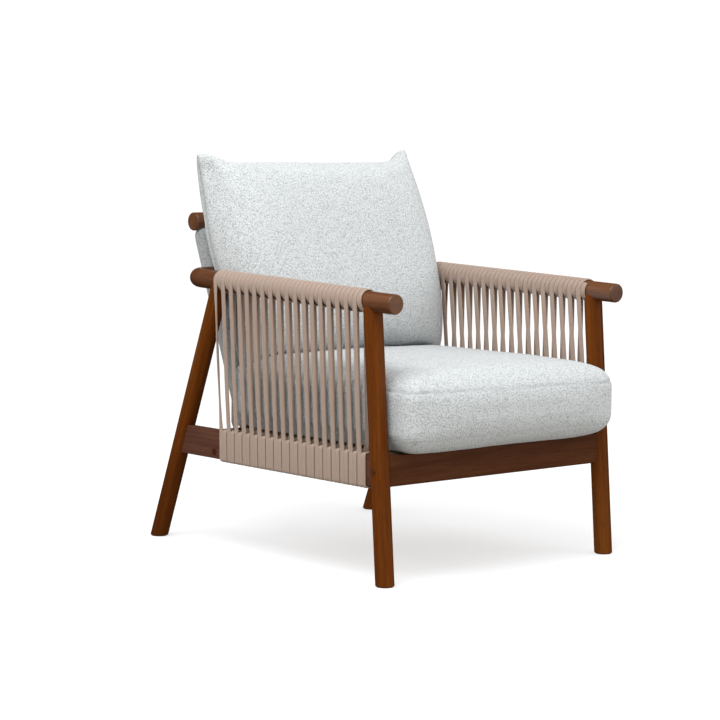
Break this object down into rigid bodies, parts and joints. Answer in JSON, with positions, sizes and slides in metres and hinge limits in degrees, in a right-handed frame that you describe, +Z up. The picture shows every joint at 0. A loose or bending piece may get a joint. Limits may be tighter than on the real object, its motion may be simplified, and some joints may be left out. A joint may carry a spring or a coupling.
{
  "type": "wooden armchair",
  "caption": "Lounge armchair with a round-section wooden frame, a horseshoe arm rail, cord-wound open sides, an upholstered back panel and loose seat and back cushions.",
  "frame": {"origin": "on the floor, at the middle of the overall box, below the seat", "axes": "+Z up, -Y to the chair's front, +X to the sitter's left"},
  "size_m": [0.695, 0.875, 0.87],
  "materials": {
    "walnut": "satin",
    "birch": "matte",
    "cord": "matte",
    "boucle": "matte",
    "steel": "satin",
    "glide": "matte"
  },
  "bodies": {
    "frame": {"arm_left": "walnut", "arm_right": "walnut", "arm_corner_left": "walnut", "arm_corner_right": "walnut", "arm_back_rail": "walnut", "front_leg_left": "walnut", "front_leg_right": "walnut", "rear_leg_left": "walnut", "rear_leg_right": "walnut", "leg_glides": "glide", "front_apron": "walnut", "rear_seat_rail": "walnut", "side_rail_left": "walnut", "side_rail_right": "walnut", "back_stile_left": "walnut", "back_stile_right": "walnut", "back_top_rail": "walnut", "back_panel": "boucle", "seat_slats": "birch", "slat_cleat_front": "birch", "slat_cleat_rear": "birch", "slat_screws": "steel", "cleat_screws": "steel", "corner_blocks": "birch", "corner_block_screws": "steel", "leg_dowels": "birch", "arm_splice_dowels": "birch", "rail_dowels": "birch", "stile_dowels": "birch", "frame_bolts": "steel", "barrel_nuts": "steel", "bolt_caps": "walnut", "back_bolts": "steel", "outer_strands_left": "cord", "inner_strands_left": "cord", "arm_cord_turns_left": "cord", "rail_cord_turns_left": "cord", "outer_strands_right": "cord", "inner_strands_right": "cord", "arm_cord_turns_right": "cord", "rail_cord_turns_right": "cord"},
    "seat": {"seat_cushion": "boucle"},
    "back": {"back_cushion": "boucle"}
  },
  "joints": [
    {"name": "seat_cushion_draw_off", "type": "slide", "parent": "frame", "child": "seat", "axis": [0, -1, 0], "range_m": [0, 0.64]},
    {"name": "back_cushion_lift_off", "type": "slide", "parent": "frame", "child": "back", "axis": [0, 0, 1], "range_m": [0, 0.34]}
  ]
}
